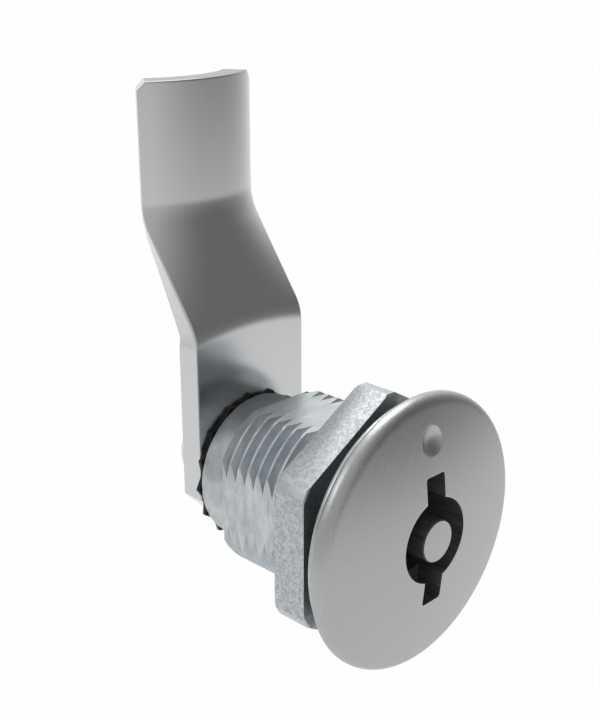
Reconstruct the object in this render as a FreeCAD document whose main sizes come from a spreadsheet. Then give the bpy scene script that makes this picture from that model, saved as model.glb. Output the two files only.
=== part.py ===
import FreeCAD, Part
import math
import os

import Sketcher

# Quarter-turn cam latch.
# The lock axis runs along Y through the origin, the cam points up (+Z) and the head faces -Y.
# The origin is the middle of the flange's back face, which lies on the panel.

doc = FreeCAD.newDocument("cam_latch")
sheet = doc.addObject("Spreadsheet::Sheet", "sizes")

# Each row is a name and a number in millimetres or degrees. A name that ends in _at is a
# place along Y, counted from the panel's face towards the inside of the cabinet.
SIZES = [
    # head
    ("head_radius", 16.0),
    ("dome_radius", 59.8),
    ("dome_front", 5.02),
    ("rim_blend", 1.48),
    ("rim_back_gap", 1.09),
    ("rim_back_edge_share", 0.16),
    ("head_wall", 2.72),
    ("head_flange_play", 0.4),
    ("running_gap", 0.05),
    # keyhole and position mark
    ("well_radius", 4.94),
    ("well_depth", 7.2),
    ("bit_width", 3.0),
    ("bit_reach", 7.7),
    ("bit_depth", 3.6),
    ("bit_corner", 0.35),
    ("pin_radius", 2.44),
    ("pin_sink", 3.0),
    ("pin_root_radius", 2.0),
    ("dot_radius", 1.65),
    ("dot_depth", 0.55),
    ("dot_height", 11.9),
    # shaft
    ("hub_radius", 9.0),
    ("hub_back_gap", 0.4),
    ("shaft_radius", 7.0),
    ("shaft_seal_groove", 1.1),
    ("shaft_seal_width", 1.6),
    ("front_groove_at", 6.6),
    ("rear_groove_gap", 5.0),
    ("shaft_play", 0.05),
    ("shaft_end_gap", 0.4),
    ("shank_radius", 5.6),
    ("square_width", 8.0),
    ("square_play", 0.05),
    ("square_short", 0.25),
    ("screw_hole_depth", 11.0),
    ("thread_play", 0.02),
    # housing
    ("flange_land", 1.05),
    ("flange_thickness", 1.97),
    ("flange_edge", 0.3),
    ("thread_radius", 11.0),
    ("thread_length", 18.85),
    ("thread_edge", 0.12),
    ("thread_pitch", 1.5),
    ("thread_depth", 0.82),
    ("thread_crest", 0.33),
    ("flats_width", 19.5),
    ("neck_radius", 9.05),
    ("neck_length", 4.7),
    ("neck_edge", 0.15),
    ("pocket_depth", 5.15),
    ("web_thickness", 2.0),
    ("pocket_radius", 6.75),
    ("track_radius", 7.7),
    ("spring_space", 1.6),
    # seals and washers
    ("panel_cord", 1.5),
    ("panel_cord_proud", 0.4),
    ("panel_seat_width", 1.7),
    ("head_cord", 1.0),
    ("head_seat_width", 1.1),
    ("head_seat_depth", 0.8),
    ("head_seat_radius", 10.2),
    ("glide_thickness", 0.5),
    ("glide_play", 0.3),
    ("spring_sheet", 0.3),
    ("spring_play", 0.3),
    ("spring_waves", 3),
    # nut
    ("panel_room", 2.1),
    ("nut_thickness", 4.4),
    ("nut_width", 27.0),
    ("nut_corner_radius", 15.24),
    ("nut_edge", 0.3),
    # stop collar
    ("collar_radius", 6.5),
    ("lug_radius", 7.4),
    ("lug_angle", 44.0),
    ("turn_angle", 90.0),
    ("stop_slack_angle", 1.0),
    # toothed washer
    ("tooth_count", 16),
    ("tooth_tip_radius", 9.4),
    ("tooth_root_radius", 8.7),
    ("tooth_thickness", 0.5),
    ("tooth_turn", 3.5),
    # cam
    ("cam_gap", 0.12),
    ("cam_thickness", 3.2),
    ("cam_width", 17.2),
    ("lower_bend_start", 16.6),
    ("lower_bend_rise", 0.95),
    ("upper_bend_end", 32.4),
    ("cam_height", 46.3),
    ("cam_offset", 6.03),
    ("tip_radius", 14.4),
    ("lower_bend_radius", 5.0),
    ("upper_bend_radius", 6.0),
    ("cam_flat_height", 12.0),
    ("cam_corner", 1.4),
    ("cam_corner_drop", 2.1),
    ("cam_side_end", 2.3),
    ("cam_bottom", 8.0),
    # fasteners
    ("washer_radius", 6.0),
    ("washer_thickness", 1.6),
    ("washer_hole_radius", 3.2),
    ("spring_washer_radius", 5.9),
    ("spring_washer_thickness", 1.6),
    ("spring_washer_slit", 1.0),
    ("screw_radius", 3.0),
    ("screw_length", 12.0),
    ("screw_tip", 0.5),
    ("screw_head_radius", 5.25),
    ("screw_head_height", 3.3),
    ("screw_socket_width", 4.0),
    ("screw_socket_depth", 2.0),
    ("screw_head_rim", 0.5),
    ("screw_crown_radius", 4.2),
    ("screw_top_radius", 2.9),
    # how far a cutting shape reaches past the metal
    ("cut_margin", 1.0),
]


class Size:
    """A number together with the spreadsheet expression that gives it."""

    def __init__(self, number, words):
        self.number = number
        self.words = words

    def __add__(self, other):
        other = as_size(other)
        return Size(self.number + other.number, f"({self.words} + {other.words})")

    def __sub__(self, other):
        other = as_size(other)
        return Size(self.number - other.number, f"({self.words} - {other.words})")

    def __mul__(self, other):
        other = as_size(other)
        return Size(self.number * other.number, f"({self.words} * {other.words})")

    def __truediv__(self, other):
        other = as_size(other)
        return Size(self.number / other.number, f"({self.words} / {other.words})")

    def __neg__(self):
        return Size(-self.number, f"(0 - {self.words})")


def as_size(value):
    if isinstance(value, Size):
        return value
    return Size(float(value), f"{float(value)}")


def root(size):
    return Size(math.sqrt(size.number), f"sqrt({size.words})")


def cos_of(degrees):
    return Size(math.cos(math.radians(degrees.number)), f"cos({degrees.words})")


def sin_of(degrees):
    return Size(math.sin(math.radians(degrees.number)), f"sin({degrees.words})")


def whole(size):
    return Size(math.floor(size.number), f"floor({size.words})")


def polar(radius, degrees):
    """The point at a radius and an angle, counted from X towards Z."""
    return radius * cos_of(degrees), radius * sin_of(degrees)


def sector(radius, low, high):
    """A slice of a disc between two angles, with its point on the lock axis."""
    middle = (low + high) / 2
    first, second = polar(radius, low), polar(radius, middle)
    return [(0, 0), (*first, radius, 1), (*second, radius, 1), polar(radius, high)]


def fill_sheet():
    """Write the sizes into the sheet and give them back by name."""
    named = {}
    for row, (name, number) in enumerate(SIZES, start=1):
        sheet.set(f"A{row}", name)
        sheet.set(f"B{row}", str(number))
        sheet.setAlias(f"B{row}", name)
    doc.recompute()
    for name, _ in SIZES:
        named[name] = Size(float(sheet.get(name)), f"sizes.{name}")
    return named


S = fill_sheet()


def dome_drop(radius):
    """How far the dome has fallen back at a distance from the axis."""
    return S["dome_radius"] - root(S["dome_radius"] * S["dome_radius"] - radius * radius)


# Places along Y that several pieces share.
head_front_at = -S["dome_front"]
recess_floor_at = head_front_at + S["head_wall"]
flange_front_at = -S["flange_thickness"]
rim_back_at = -S["rim_back_gap"]
hub_back_at = -S["hub_back_gap"]
glide_front_at = hub_back_at + S["running_gap"]
glide_back_at = glide_front_at + S["glide_thickness"]
neck_end_at = S["thread_length"] + S["neck_length"]
web_back_at = neck_end_at - S["pocket_depth"]
web_front_at = web_back_at - S["web_thickness"]
shaft_end_at = web_front_at - S["shaft_end_gap"]
rear_groove_at = web_front_at - S["rear_groove_gap"]
collar_front_at = web_back_at + S["spring_space"]
tooth_front_at = neck_end_at + S["cam_gap"]
cam_front_at = tooth_front_at + S["tooth_thickness"]
cam_back_at = cam_front_at + S["cam_thickness"]
square_end_at = cam_back_at - S["square_short"]
washer_back_at = cam_back_at + S["washer_thickness"]
spring_washer_back_at = washer_back_at + S["spring_washer_thickness"]
seat_radius = S["thread_radius"] + S["panel_seat_width"]
flange_radius = seat_radius + S["flange_land"]
recess_radius = flange_radius + S["head_flange_play"]
bore_radius = S["shaft_radius"] + S["shaft_play"]
throat_radius = S["shank_radius"] + S["shaft_play"]
nut_front_at = S["panel_room"]
square_hole = S["square_width"] + S["square_play"] * 2


def new_body(label):
    body = doc.addObject("PartDesign::Body", label)
    body.Label = label
    return body


def origin_plane(body, role):
    for feature in body.Origin.OriginFeatures:
        if feature.Role == role:
            return feature
    raise ValueError(role)


def new_sketch(body, name, role, at=None):
    """A sketch on one of the body's own planes. On XZ it is moved back along Y to 'at'."""
    sketch = body.newObject("Sketcher::SketchObject", name)
    sketch.AttachmentSupport = [(origin_plane(body, role), "")]
    sketch.MapMode = "FlatFace"
    if at is not None:
        sketch.setExpression("AttachmentOffset.Base.z", (-at).words)
    return sketch


def bind(sketch, constraint, size):
    index = sketch.addConstraint(constraint)
    sketch.setExpression(f"Constraints[{index}]", size.words)


def add_outline(sketch, corners):
    """Draw a closed outline.

    A corner is (across, along), or (across, along, radius, side) where the edge that leaves
    it is an arc. The side is 1 where the arc's centre lies to the left of the way to the
    next corner and -1 where it lies to the right.
    """
    corners = [tuple(as_size(v) if i < 3 else v for i, v in enumerate(c)) for c in corners]
    first = len(sketch.Geometry)
    count = len(corners)
    for i, corner in enumerate(corners):
        start = FreeCAD.Vector(corner[0].number, corner[1].number, 0)
        nxt = corners[(i + 1) % count]
        end = FreeCAD.Vector(nxt[0].number, nxt[1].number, 0)
        if len(corner) == 2:
            sketch.addGeometry(Part.LineSegment(start, end))
            continue
        radius, side = corner[2].number, corner[3]
        chord = end - start
        left = FreeCAD.Vector(-chord.y, chord.x, 0).normalize()
        reach = math.sqrt(max(0.0, radius**2 - (chord.Length / 2) ** 2))
        centre = start + chord * 0.5 + left * (side * reach)
        middle = centre - left * (side * radius)
        sketch.addGeometry(Part.Arc(start, middle, end))
    ends = [arc_ends(sketch.Geometry[first + i], corners[i]) for i in range(count)]
    for i in range(count):
        here = first + i
        after = first + (i + 1) % count
        sketch.addConstraint(
            Sketcher.Constraint("Coincident", here, ends[i][1], after, ends[(i + 1) % count][0])
        )
    for i, corner in enumerate(corners):
        here, point = first + i, ends[i][0]
        across, along = corner[0], corner[1]
        bind(sketch, Sketcher.Constraint("DistanceX", here, point, across.number), across)
        bind(sketch, Sketcher.Constraint("DistanceY", here, point, along.number), along)
        if len(corner) > 2:
            bind(sketch, Sketcher.Constraint("Radius", here, corner[2].number), corner[2])


def arc_ends(edge, corner):
    """Which ends of an edge are its first and last point on the way round the outline."""
    start = FreeCAD.Vector(corner[0].number, corner[1].number, 0)
    if edge.StartPoint.distanceToPoint(start) < 1e-6:
        return 1, 2
    return 2, 1


def add_circle(sketch, radius, across=0, along=0):
    radius, across, along = as_size(radius), as_size(across), as_size(along)
    centre = FreeCAD.Vector(across.number, along.number, 0)
    edge = sketch.addGeometry(
        Part.Circle(centre, FreeCAD.Vector(0, 0, 1), radius.number)
    )
    bind(sketch, Sketcher.Constraint("Radius", edge, radius.number), radius)
    bind(sketch, Sketcher.Constraint("DistanceX", edge, 3, across.number), across)
    bind(sketch, Sketcher.Constraint("DistanceY", edge, 3, along.number), along)


def turned(body, name, corners, cut=False):
    """A solid of revolution about Y, or a groove, from an outline of (radius, place) corners."""
    sketch = new_sketch(body, f"{name}_outline", "XY_Plane")
    add_outline(sketch, corners)
    kind = "PartDesign::Groove" if cut else "PartDesign::Revolution"
    feature = body.newObject(kind, name)
    feature.Profile = sketch
    feature.ReferenceAxis = (sketch, ["V_Axis"])
    feature.Angle = 360
    body.Tip = feature
    return feature


def padded(body, name, sketch, length):
    """Pad a sketch on XZ towards the inside of the cabinet."""
    pad = body.newObject("PartDesign::Pad", name)
    pad.Profile = sketch
    pad.Length = length.number
    pad.setExpression("Length", length.words)
    pad.Reversed = True
    body.Tip = pad
    return pad


def pocketed(body, name, sketch, depth):
    """Cut a sketch on XZ away, towards the inside of the cabinet."""
    pocket = body.newObject("PartDesign::Pocket", name)
    pocket.Profile = sketch
    pocket.Length = depth.number
    pocket.setExpression("Length", depth.words)
    body.Tip = pocket
    return pocket


def edges_where(feature, wanted):
    """Names of the edges of a feature for which wanted(edge) is true."""
    return [f"Edge{i}" for i, e in enumerate(feature.Shape.Edges, start=1) if wanted(e)]


def dressed(body, name, kind, base, edge_names, size):
    """A fillet or chamfer of the named edges."""
    feature = body.newObject(kind, name)
    feature.Base = (base, edge_names)
    prop = "Radius" if kind.endswith("Fillet") else "Size"
    setattr(feature, prop, size.number)
    feature.setExpression(prop, size.words)
    body.Tip = feature
    return feature


def is_ring(edge, radius, at):
    """True for a circle about the lock axis with this radius and place."""
    if edge.Degenerated or not isinstance(edge.Curve, Part.Circle):
        return False
    curve = edge.Curve
    return (
        abs(curve.Radius - radius.number) < 1e-4
        and abs(curve.Center.y - at.number) < 1e-4
        and math.hypot(curve.Center.x, curve.Center.z) < 1e-4
    )


def square_corners(width):
    half = width / 2
    return [(-half, -half), (half, -half), (half, half), (-half, half)]


def make_actuator():
    """The domed head, hub, shaft and square end, one casting."""
    body = new_body("actuator")
    head = S["head_radius"]
    hole = S["screw_radius"] + S["thread_play"]
    hole_bottom_at = square_end_at - S["screw_hole_depth"]
    well_floor_at = head_front_at + S["well_depth"]
    outline = [
        (0, head_front_at, S["dome_radius"], 1),
        (head, head_front_at + dome_drop(head)),
        (head, rim_back_at),
        (recess_radius, rim_back_at),
        (recess_radius, recess_floor_at),
        (S["hub_radius"], recess_floor_at),
        (S["hub_radius"], hub_back_at),
        (S["shaft_radius"], hub_back_at),
    ]
    for groove_at in (S["front_groove_at"], rear_groove_at):
        floor = S["shaft_radius"] - S["shaft_seal_groove"]
        outline += [
            (S["shaft_radius"], groove_at),
            (floor, groove_at),
            (floor, groove_at + S["shaft_seal_width"]),
            (S["shaft_radius"], groove_at + S["shaft_seal_width"]),
        ]
    outline += [
        (S["shaft_radius"], shaft_end_at),
        (S["shank_radius"], shaft_end_at),
        (S["shank_radius"], square_end_at),
        (hole, square_end_at),
        (hole, hole_bottom_at),
        (0, hole_bottom_at - hole / 2),
    ]
    shape = turned(body, "actuator_shape", outline)
    doc.recompute()
    rim = edges_where(shape, lambda e: is_ring(e, head, head_front_at + dome_drop(head)))
    blend = dressed(body, "rim_blend_edge", "PartDesign::Fillet", shape, rim, S["rim_blend"])
    doc.recompute()
    back = edges_where(blend, lambda e: is_ring(e, head, rim_back_at))
    edge = (head - recess_radius) * S["rim_back_edge_share"]
    dressed(body, "rim_back_fillet", "PartDesign::Fillet", blend, back, edge)

    square = new_sketch(body, "square_outline", "XZ_Plane", collar_front_at)
    add_circle(square, S["shank_radius"] + S["cut_margin"])
    add_outline(square, square_corners(S["square_width"]))
    pocketed(body, "square_end", square, square_end_at - collar_front_at)

    well = [
        (0, head_front_at - S["cut_margin"]),
        (S["well_radius"], head_front_at - S["cut_margin"]),
        (S["well_radius"], well_floor_at),
        (S["pin_root_radius"], well_floor_at),
        (S["pin_root_radius"], well_floor_at + S["pin_sink"]),
        (0, well_floor_at + S["pin_sink"]),
    ]
    turned(body, "key_well", well, cut=True)

    bits = new_sketch(body, "bit_outline", "XZ_Plane", head_front_at)
    half, reach, corner = S["bit_width"] / 2, S["bit_reach"], S["bit_corner"]
    add_outline(
        bits,
        [
            (-half, corner - reach, corner, 1),
            (corner - half, -reach),
            (half - corner, -reach, corner, 1),
            (half, corner - reach),
            (half, reach - corner, corner, 1),
            (half - corner, reach),
            (corner - half, reach, corner, 1),
            (-half, reach - corner),
        ],
    )
    pocketed(body, "bit_slots", bits, S["bit_depth"])

    dot = body.newObject("PartDesign::SubtractiveSphere", "position_dot")
    depth = S["dot_depth"]
    ball = (S["dot_radius"] * S["dot_radius"] + depth * depth) / (depth * 2)
    ball_at = head_front_at + dome_drop(S["dot_height"]) - ball + depth
    dot.setExpression("Radius", ball.words)
    dot.setExpression("Placement.Base.y", ball_at.words)
    dot.setExpression("Placement.Base.z", S["dot_height"].words)
    body.Tip = dot
    return body


def make_centre_pin():
    """Pin that guides the key, with a thinner root in the floor of the keyhole."""
    body = new_body("centre_pin")
    floor_at = head_front_at + S["well_depth"]
    end_at = floor_at + S["pin_sink"]
    outline = [
        (0, head_front_at, S["dome_radius"], 1),
        (S["pin_radius"], head_front_at + dome_drop(S["pin_radius"])),
        (S["pin_radius"], floor_at),
        (S["pin_root_radius"], floor_at),
        (S["pin_root_radius"], end_at),
        (0, end_at),
    ]
    turned(body, "pin_shape", outline)
    return body


def thread_grooves(body):
    """Rings of V grooves in place of the helix, from the thread's end to the panel."""
    pitch, crest = S["thread_pitch"], S["thread_radius"]
    root_at = S["thread_length"] - pitch / 2
    reach = S["cut_margin"] / 2
    half = (pitch - S["thread_crest"]) / 2
    wide = half * (S["thread_depth"] + reach) / S["thread_depth"]
    groove = [
        (crest - S["thread_depth"], root_at),
        (crest + reach, root_at - wide),
        (crest + reach, root_at + wide),
    ]
    first = turned(body, "thread_groove", groove, cut=True)
    count = whole(S["thread_length"] / pitch)
    row = body.newObject("PartDesign::LinearPattern", "thread_grooves")
    row.Originals = [first]
    row.Direction = (first.Profile[0], ["V_Axis"])
    row.Reversed = True
    row.Length = ((count - 1) * pitch).number
    row.setExpression("Length", ((count - 1) * pitch).words)
    row.Occurrences = int(count.number)
    row.setExpression("Occurrences", count.words)
    body.Tip = row


def make_housing():
    """Flange, threaded body with four flats, neck, bore and rear pocket with its stop rib."""
    body = new_body("housing")
    thread, neck = S["thread_radius"], S["neck_radius"]
    edge = S["thread_edge"]
    seat_floor_at = -(S["panel_cord"] - S["panel_cord_proud"])
    head_seat_inner = S["head_seat_radius"] - S["head_seat_width"] / 2
    head_seat_outer = S["head_seat_radius"] + S["head_seat_width"] / 2
    head_seat_floor_at = flange_front_at + S["head_seat_depth"]
    outline = [
        (S["hub_radius"] + S["glide_play"], flange_front_at),
        (head_seat_inner, flange_front_at),
        (head_seat_inner, head_seat_floor_at),
        (head_seat_outer, head_seat_floor_at),
        (head_seat_outer, flange_front_at),
        (flange_radius - S["flange_edge"], flange_front_at),
        (flange_radius, flange_front_at + S["flange_edge"]),
        (flange_radius, 0),
        (seat_radius, 0),
        (seat_radius, seat_floor_at),
        (thread, seat_floor_at),
        (thread, S["thread_length"] - edge),
        (thread - edge, S["thread_length"]),
        (neck, S["thread_length"]),
        (neck, neck_end_at - S["neck_edge"]),
        (neck - S["neck_edge"], neck_end_at),
        (S["pocket_radius"], neck_end_at),
        (S["pocket_radius"], web_back_at),
        (throat_radius, web_back_at),
        (throat_radius, web_front_at),
        (bore_radius, web_front_at),
        (bore_radius, glide_back_at),
        (S["hub_radius"] + S["glide_play"], glide_back_at),
    ]
    turned(body, "housing_shape", outline)
    thread_grooves(body)

    flats = new_sketch(body, "flats_outline", "XZ_Plane", as_size(0))
    add_circle(flats, S["flats_width"])
    add_outline(flats, square_corners(S["flats_width"]))
    pocketed(body, "flats", flats, S["thread_length"])

    track = new_sketch(body, "stop_track_outline", "XZ_Plane", collar_front_at)
    slack = S["lug_angle"] / 2 + S["stop_slack_angle"]
    low = as_size(90) - S["turn_angle"] - slack
    high = as_size(90) + slack
    add_outline(track, sector(S["track_radius"], low, high))
    pocketed(body, "stop_track", track, neck_end_at - collar_front_at)
    return body


def make_mounting_nut():
    """Hexagon nut with cut-off corners, points up and down."""
    body = new_body("mounting_nut")
    hexagon = new_sketch(body, "hexagon", "XZ_Plane", nut_front_at)
    point = S["nut_width"] / 2 / cos_of(as_size(30))
    add_outline(hexagon, [polar(point, as_size(90 + 60 * i)) for i in range(6)])
    add_circle(hexagon, S["thread_radius"] + S["thread_play"])
    padded(body, "nut_shape", hexagon, S["nut_thickness"])
    corner = new_sketch(body, "corner_outline", "XZ_Plane", nut_front_at)
    cut, side, out = S["nut_corner_radius"], S["nut_width"] / 8, S["nut_width"]
    add_outline(corner, [(-side, cut), (side, cut), (side, out), (-side, out)])
    first = pocketed(body, "cut_corner", corner, S["nut_thickness"])
    ring = body.newObject("PartDesign::PolarPattern", "cut_corners")
    ring.Originals = [first]
    ring.Axis = (corner, ["N_Axis"])
    ring.Angle = 360
    ring.Occurrences = 6
    body.Tip = ring
    doc.recompute()
    ends = (nut_front_at.number, (nut_front_at + S["nut_thickness"]).number)
    rims = edges_where(ring, lambda e: is_outer_end_edge(e, ends, S["thread_radius"].number))
    dressed(body, "nut_edges", "PartDesign::Chamfer", ring, rims, S["nut_edge"])
    return body


def is_outer_end_edge(edge, ends, inner):
    """True for a straight edge of an end face, outside the given radius."""
    if edge.Degenerated or not isinstance(edge.Curve, Part.Line):
        return False
    ys = [v.Point.y for v in edge.Vertexes]
    flat = abs(ys[0] - ys[1]) < 1e-6 and min(abs(ys[0] - end) for end in ends) < 1e-6
    return flat and min(math.hypot(v.X, v.Z) for v in edge.Vertexes) > inner


def make_cord_ring(label, ring_radius, cord, middle_at):
    """An O-ring: a torus about the lock axis."""
    body = new_body(label)
    sketch = new_sketch(body, f"{label}_section", "XY_Plane")
    add_circle(sketch, cord / 2, ring_radius, middle_at)
    ring = body.newObject("PartDesign::Revolution", f"{label}_ring")
    ring.Profile = sketch
    ring.ReferenceAxis = (sketch, ["V_Axis"])
    ring.Angle = 360
    body.Tip = ring
    return body


def make_shaft_seal(label, groove_at):
    """A squeezed O-ring that fills its groove up to the bore."""
    body = new_body(label)
    floor = S["shaft_radius"] - S["shaft_seal_groove"]
    top = S["shaft_radius"] + S["shaft_play"] / 2
    low, high = groove_at + S["running_gap"], groove_at + S["shaft_seal_width"] - S["running_gap"]
    round_edge = (high - low) / 4
    outline = [
        (floor, low),
        (top - round_edge, low, round_edge, 1),
        (top, low + round_edge),
        (top, high - round_edge, round_edge, 1),
        (top - round_edge, high),
        (floor, high),
    ]
    turned(body, f"{label}_ring", outline)
    return body


def make_ring(label, inner, outer, front_at, thickness):
    """A flat washer about the lock axis."""
    body = new_body(label)
    back_at = front_at + thickness
    outline = [(inner, front_at), (outer, front_at), (outer, back_at), (inner, back_at)]
    turned(body, f"{label}_ring", outline)
    return body


def make_stop_collar():
    """Collar on the square whose lug meets the ends of the housing's stop track."""
    body = new_body("stop_collar")
    length = tooth_front_at - collar_front_at
    hub = new_sketch(body, "collar_outline", "XZ_Plane", collar_front_at)
    add_circle(hub, S["collar_radius"])
    padded(body, "collar_hub", hub, length)
    lug = new_sketch(body, "lug_outline", "XZ_Plane", collar_front_at + S["running_gap"])
    half = S["lug_angle"] / 2
    add_outline(lug, sector(S["lug_radius"], as_size(90) - half, as_size(90) + half))
    padded(body, "stop_lug", lug, neck_end_at - collar_front_at - S["running_gap"])
    hole = new_sketch(body, "collar_hole", "XZ_Plane", collar_front_at)
    add_outline(hole, square_corners(square_hole))
    pocketed(body, "collar_square", hole, length)
    return body


def make_tooth_washer():
    """Washer with pointed teeth all round, held on the square in front of the cam."""
    body = new_body("tooth_washer")
    disc = new_sketch(body, "washer_outline", "XZ_Plane", tooth_front_at)
    add_circle(disc, S["tooth_root_radius"])
    padded(body, "washer_disc", disc, S["tooth_thickness"])
    tooth = new_sketch(body, "tooth_outline", "XZ_Plane", tooth_front_at)
    half_pitch = as_size(180) / S["tooth_count"]
    middle = as_size(90) + S["tooth_turn"]
    add_outline(
        tooth,
        [
            polar(S["tooth_root_radius"] - S["tooth_thickness"], middle - half_pitch),
            polar(S["tooth_root_radius"] * cos_of(half_pitch / 4), middle - half_pitch),
            polar(S["tooth_tip_radius"], middle),
            polar(S["tooth_root_radius"] * cos_of(half_pitch / 4), middle + half_pitch),
            polar(S["tooth_root_radius"] - S["tooth_thickness"], middle + half_pitch),
        ],
    )
    first = padded(body, "tooth", tooth, S["tooth_thickness"])
    teeth = body.newObject("PartDesign::PolarPattern", "teeth")
    teeth.Originals = [first]
    teeth.Axis = (tooth, ["N_Axis"])
    teeth.Angle = 360
    teeth.Occurrences = int(S["tooth_count"].number)
    teeth.setExpression("Occurrences", S["tooth_count"].words)
    body.Tip = teeth
    hole = new_sketch(body, "washer_hole", "XZ_Plane", tooth_front_at)
    add_outline(hole, square_corners(square_hole))
    pocketed(body, "washer_square", hole, S["tooth_thickness"])
    return body


def make_spring_washer():
    """Washer with a slit that keeps the screw tight."""
    hole = S["washer_hole_radius"]
    outer, thickness = S["spring_washer_radius"], S["spring_washer_thickness"]
    body = make_ring("spring_washer", hole, outer, washer_back_at, thickness)
    slit = new_sketch(body, "slit_outline", "XZ_Plane", washer_back_at)
    half, out = S["spring_washer_slit"] / 2, outer + S["cut_margin"]
    add_outline(slit, [(-half, 0), (half, 0), (half, out), (-half, out)])
    pocketed(body, "slit", slit, thickness)
    return body


def make_cam_screw():
    """Screw with a round head and a hexagon socket."""
    body = new_body("cam_screw")
    shank, head = S["screw_radius"], S["screw_head_radius"]
    tip_at = spring_washer_back_at - S["screw_length"]
    top_at = spring_washer_back_at + S["screw_head_height"]
    outline = [
        (0, tip_at),
        (shank - S["screw_tip"], tip_at),
        (shank, tip_at + S["screw_tip"]),
        (shank, spring_washer_back_at),
        (head, spring_washer_back_at),
        (head, spring_washer_back_at + S["screw_head_rim"], S["screw_crown_radius"], 1),
        (S["screw_top_radius"], top_at),
        (0, top_at),
    ]
    turned(body, "screw_shape", outline)
    socket = new_sketch(body, "socket_outline", "XZ_Plane", top_at - S["screw_socket_depth"])
    point = S["screw_socket_width"] / 2 / cos_of(as_size(30))
    add_outline(socket, [polar(point, as_size(60 * i)) for i in range(6)])
    pocketed(body, "socket", socket, S["screw_socket_depth"] + S["cut_margin"])
    return body


def make_wave_spring():
    """Thin ring bent in waves between the housing's web and the stop collar."""
    low, high = S["shank_radius"] + S["spring_play"], S["pocket_radius"] - S["spring_play"] / 3
    room = S["spring_space"] - S["spring_sheet"] - S["running_gap"] * 2
    front_at = web_back_at + S["running_gap"]
    waves, steps = int(S["spring_waves"].number), 48

    def rail(radius, place):
        """A closed wave at a radius."""
        points = []
        for i in range(steps):
            angle = 2 * math.pi * i / steps
            rise = room.number / 2 * (1 - math.cos(waves * angle))
            across, up = radius.number * math.cos(angle), radius.number * math.sin(angle)
            points.append(FreeCAD.Vector(across, place.number + rise, up))
        curve = Part.BSplineCurve()
        curve.interpolate(Points=points, PeriodicFlag=True)
        return curve.toShape()

    back_at = front_at + S["spring_sheet"]
    rails = [rail(low, front_at), rail(high, front_at), rail(high, back_at), rail(low, back_at)]
    faces = [Part.makeRuledSurface(rails[i], rails[(i + 1) % 4]) for i in range(4)]
    spring = doc.addObject("Part::Feature", "wave_spring")
    spring.Label = "wave_spring"
    spring.Shape = closed_solid(faces)
    return spring


def closed_solid(faces):
    """A solid from faces that meet edge to edge."""
    shell = Part.makeShell(faces)
    shell.sewShape()
    solid = Part.makeSolid(shell)
    if solid.Volume < 0:
        solid.reverse()
    return solid


def cam_profile(across):
    """Corners (height, place) of the cam's front face at a distance from its middle line."""
    half = S["cam_width"].number / 2
    tip = S["tip_radius"].number
    low_bend, high_bend = S["lower_bend_radius"].number, S["upper_bend_radius"].number
    low_start = S["lower_bend_start"].number + S["lower_bend_rise"].number * (1 - (across / half) ** 2)
    high_end = S["upper_bend_end"].number
    front = cam_front_at.number
    back = front + S["cam_offset"].number + tip - math.sqrt(tip**2 - across**2)
    # the slanted part touches both bends
    rise, offset = high_end - low_start, back - front
    bends_room = (low_bend + high_bend) * 2 - offset
    slope = 2 * math.atan((rise - math.sqrt(rise**2 - offset * bends_room)) / bends_room)
    bends = [slope * i / 24 for i in range(25)]
    points = [(S["cam_flat_height"].number, front)]
    for turn in bends:
        height = low_start + low_bend * math.sin(turn)
        points.append((height, front + low_bend * (1 - math.cos(turn))))
    for turn in reversed(bends):
        height = high_end - high_bend * math.sin(turn)
        points.append((height, back - high_bend * (1 - math.cos(turn))))
    points.append((S["cam_height"].number, back))
    return points


def cam_front_point(across, share):
    """A point of the cam's front face at a share of the way up from its flat base."""
    corners = cam_profile(across)
    lengths = [math.dist(a, b) for a, b in zip(corners, corners[1:])]
    left = share * sum(lengths)
    i = 0
    while left > lengths[i] and i < len(lengths) - 1:
        left -= lengths[i]
        i += 1
    height, place = (a + (b - a) * left / lengths[i] for a, b in zip(corners[i], corners[i + 1]))
    return FreeCAD.Vector(across, place, height)


def cam_grids(columns=10, rows=36):
    """Points over the cam's front face, and the same points moved back square to it."""
    half, thickness = S["cam_width"].number / 2, S["cam_thickness"].number
    step = 0.01
    front, back = [], []
    for i in range(columns + 1):
        across = half * (2 * i / columns - 1)
        front.append([])
        back.append([])
        for j in range(rows + 1):
            share = j / rows
            point = cam_front_point(across, share)
            right, left = (cam_front_point(across + s, share) for s in (step, -step))
            higher = cam_front_point(across, min(1, share + step))
            lower = cam_front_point(across, max(0, share - step))
            square = (higher - lower).cross(right - left).normalize()
            front[i].append(point)
            back[i].append(point + square * thickness)
    return front, back


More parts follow.
